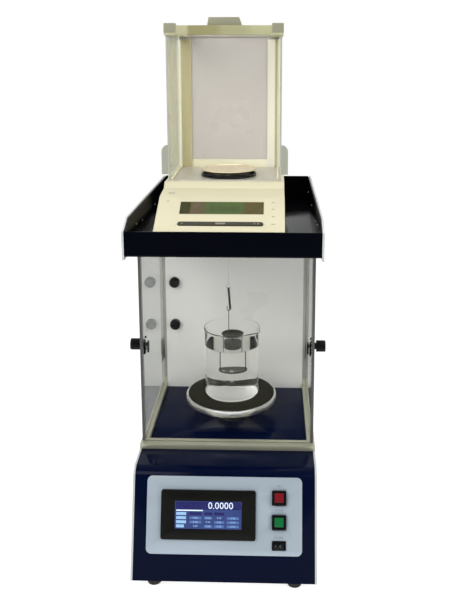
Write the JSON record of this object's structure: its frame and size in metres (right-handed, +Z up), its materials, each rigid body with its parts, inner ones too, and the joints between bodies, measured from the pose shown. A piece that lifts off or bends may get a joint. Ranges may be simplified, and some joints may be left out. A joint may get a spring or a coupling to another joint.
{
  "type": "benchtop density meter",
  "caption": "Benchtop density meter: analytical balance on a tray above a glazed cabinet, where a specimen hanger dips into a beaker on a lifting stage.",
  "frame": {"origin": "centre of the footprint, on the bench", "axes": "+X to the right of someone facing the control panel, +Y to the back, +Z up"},
  "size_m": [0.352, 0.532, 0.96],
  "materials": {
    "base_pan": "matt grey",
    "front_cover": "glossy navy",
    "top_plate": "glossy navy",
    "left_side_panel": "pale grey satin",
    "right_side_panel": "pale grey satin",
    "rear_panel": "glossy navy",
    "rubber_feet": "matt",
    "control_panel": "brushed silver blue",
    "display_unit": "fine grain",
    "display_glass": "lit blue display",
    "switch_bezels": "satin",
    "red_button": "glossy",
    "green_button": "glossy",
    "power_rocker": "satin",
    "control_board": "solder mask",
    "power_supply": "perforated case",
    "mains_inlet": "matt",
    "lift_plates": "milled",
    "guide_rods": "ground",
    "lift_motor": "black anodised",
    "lead_screw": "rolled",
    "lift_carriage": "milled",
    "stage_shaft": "ground",
    "shaft_bush": "matt",
    "stage_disc": "polished",
    "stage_mat": "fine grain",
    "beaker": "clear",
    "cabinet_frame": "satin champagne",
    "back_wall": "satin grey",
    "front_window": "clear",
    "left_door": "clear",
    "right_door": "clear",
    "fixed_door_hardware": "matt",
    "left_door_hinges": "matt",
    "right_door_hinges": "matt",
    "left_latch_knob": "fluted",
    "right_latch_knob": "fluted",
    "wall_knobs": "satin",
    "column_shell": "glossy navy",
    "tray_pan": "satin black",
    "tray_front": "glossy navy black",
    "tray_side_plates": "pale satin",
    "balance_base": "fine grain",
    "balance_cover": "fine grain",
    "balance_display": "olive display",
    "balance_key_bar": "satin",
    "chamber_floor": "brushed",
    "chamber_rear_frame": "fine grain",
    "chamber_back_panel": "smooth grey",
    "chamber_top_frame": "fine grain",
    "chamber_front_glass": "clear",
    "left_glass_door": "clear",
    "right_glass_door": "clear",
    "top_glass_door": "clear",
    "load_cell": "milled",
    "draft_ring": "matt",
    "weighing_pan": "polished",
    "weigh_hook": "polished",
    "hanger_rod": "dark wire",
    "sample_basket": "dark satin"
  },
  "bodies": {
    "housing": {"base_pan": "base_pan", "front_cover": "front_cover", "top_plate": "top_plate", "left_side_panel": "left_side_panel", "right_side_panel": "right_side_panel", "rear_panel": "rear_panel", "rubber_feet": "rubber_feet", "control_panel": "control_panel", "display_unit": "display_unit", "display_glass": "display_glass", "switch_bezels": "switch_bezels", "control_board": "control_board", "power_supply": "power_supply", "mains_inlet": "mains_inlet", "lift_plates": "lift_plates", "guide_rods": "guide_rods", "lift_motor": "lift_motor", "shaft_bush": "shaft_bush", "cabinet_frame": "cabinet_frame", "back_wall": "back_wall", "front_window": "front_window", "fixed_door_hardware": "fixed_door_hardware", "wall_knobs": "wall_knobs", "column_shell": "column_shell", "tray_pan": "tray_pan", "tray_front": "tray_front", "tray_side_plates": "tray_side_plates", "balance_base": "balance_base", "balance_cover": "balance_cover", "balance_display": "balance_display", "chamber_floor": "chamber_floor", "chamber_rear_frame": "chamber_rear_frame", "chamber_back_panel": "chamber_back_panel", "chamber_top_frame": "chamber_top_frame", "chamber_front_glass": "chamber_front_glass", "load_cell": "load_cell", "draft_ring": "draft_ring"},
    "stage": {"stage_disc": "stage_disc", "stage_mat": "stage_mat", "beaker": "beaker", "stage_shaft": "stage_shaft", "lift_carriage": "lift_carriage"},
    "screw": {"lead_screw": "lead_screw"},
    "red_button": {"red_button": "red_button"},
    "green_button": {"green_button": "green_button"},
    "power_rocker": {"power_rocker": "power_rocker"},
    "left_door": {"left_door": "left_door", "left_door_hinges": "left_door_hinges"},
    "right_door": {"right_door": "right_door", "right_door_hinges": "right_door_hinges"},
    "left_latch": {"left_latch_knob": "left_latch_knob"},
    "right_latch": {"right_latch_knob": "right_latch_knob"},
    "left_glass": {"left_glass_door": "left_glass_door"},
    "right_glass": {"right_glass_door": "right_glass_door"},
    "top_glass": {"top_glass_door": "top_glass_door"},
    "key_bar": {"balance_key_bar": "balance_key_bar"},
    "pan": {"weighing_pan": "weighing_pan", "weigh_hook": "weigh_hook"},
    "hanger": {"hanger_rod": "hanger_rod", "sample_basket": "sample_basket"}
  },
  "joints": [
    {"name": "stage_lift", "type": "slide", "parent": "housing", "child": "stage", "axis": [0, 0, 1], "range_m": [-0.025, 0.03]},
    {"name": "lead_screw_turn", "type": "hinge", "parent": "housing", "child": "screw", "pos_m": [0.062, 0, 0.12], "axis": [0, 0, 1], "range_deg": [-2300, 2750]},
    {"name": "red_button_press", "type": "slide", "parent": "housing", "child": "red_button", "axis": [0, 0.9511, -0.309], "range_m": [0, 0.0025], "stiffness_N_per_m": 400, "springref_m": -0.002},
    {"name": "green_button_press", "type": "slide", "parent": "housing", "child": "green_button", "axis": [0, 0.9511, -0.309], "range_m": [0, 0.0025], "stiffness_N_per_m": 400, "springref_m": -0.002},
    {"name": "power_rocker_tip", "type": "hinge", "parent": "housing", "child": "power_rocker", "pos_m": [0.0937, -0.24589, 0.07666], "axis": [0, 0.309, 0.9511], "range_deg": [0, 14]},
    {"name": "left_door_swing", "type": "hinge", "parent": "housing", "child": "left_door", "pos_m": [-0.1594, 0.143, 0.38], "axis": [0, 0, -1], "range_deg": [0, 100]},
    {"name": "right_door_swing", "type": "hinge", "parent": "housing", "child": "right_door", "pos_m": [0.1594, 0.143, 0.38], "axis": [0, 0, 1], "range_deg": [0, 100]},
    {"name": "left_latch_turn", "type": "hinge", "parent": "left_door", "child": "left_latch", "pos_m": [-0.153, -0.104, 0.38], "axis": [-1, 0, 0], "range_deg": [0, 90]},
    {"name": "right_latch_turn", "type": "hinge", "parent": "right_door", "child": "right_latch", "pos_m": [0.153, -0.104, 0.38], "axis": [-1, 0, 0], "range_deg": [0, 90]},
    {"name": "left_glass_slide", "type": "slide", "parent": "housing", "child": "left_glass", "axis": [0, 1, 0], "range_m": [0, 0.15]},
    {"name": "right_glass_slide", "type": "slide", "parent": "housing", "child": "right_glass", "axis": [0, 1, 0], "range_m": [0, 0.15]},
    {"name": "top_glass_slide", "type": "slide", "parent": "housing", "child": "top_glass", "axis": [0, 1, 0], "range_m": [0, 0.15]},
    {"name": "key_bar_press", "type": "slide", "parent": "housing", "child": "key_bar", "axis": [0, 0.4497, -0.8932], "range_m": [0, 0.001], "stiffness_N_per_m": 400, "springref_m": -0.002},
    {"name": "pan_load", "type": "slide", "parent": "housing", "child": "pan", "axis": [0, 0, -1], "range_m": [0, 0.001], "stiffness_N_per_m": 20000, "springref_m": -0.0004},
    {"name": "hanger_swing", "type": "hinge", "parent": "pan", "child": "hanger", "pos_m": [-0.0025, 0, 0.5615], "axis": [0, 1, 0], "range_deg": [-4, 4]}
  ],
  "couplings": [
    {"joint": "lead_screw_turn", "follows": "stage_lift", "rad_per_m": 1570.8}
  ]
}
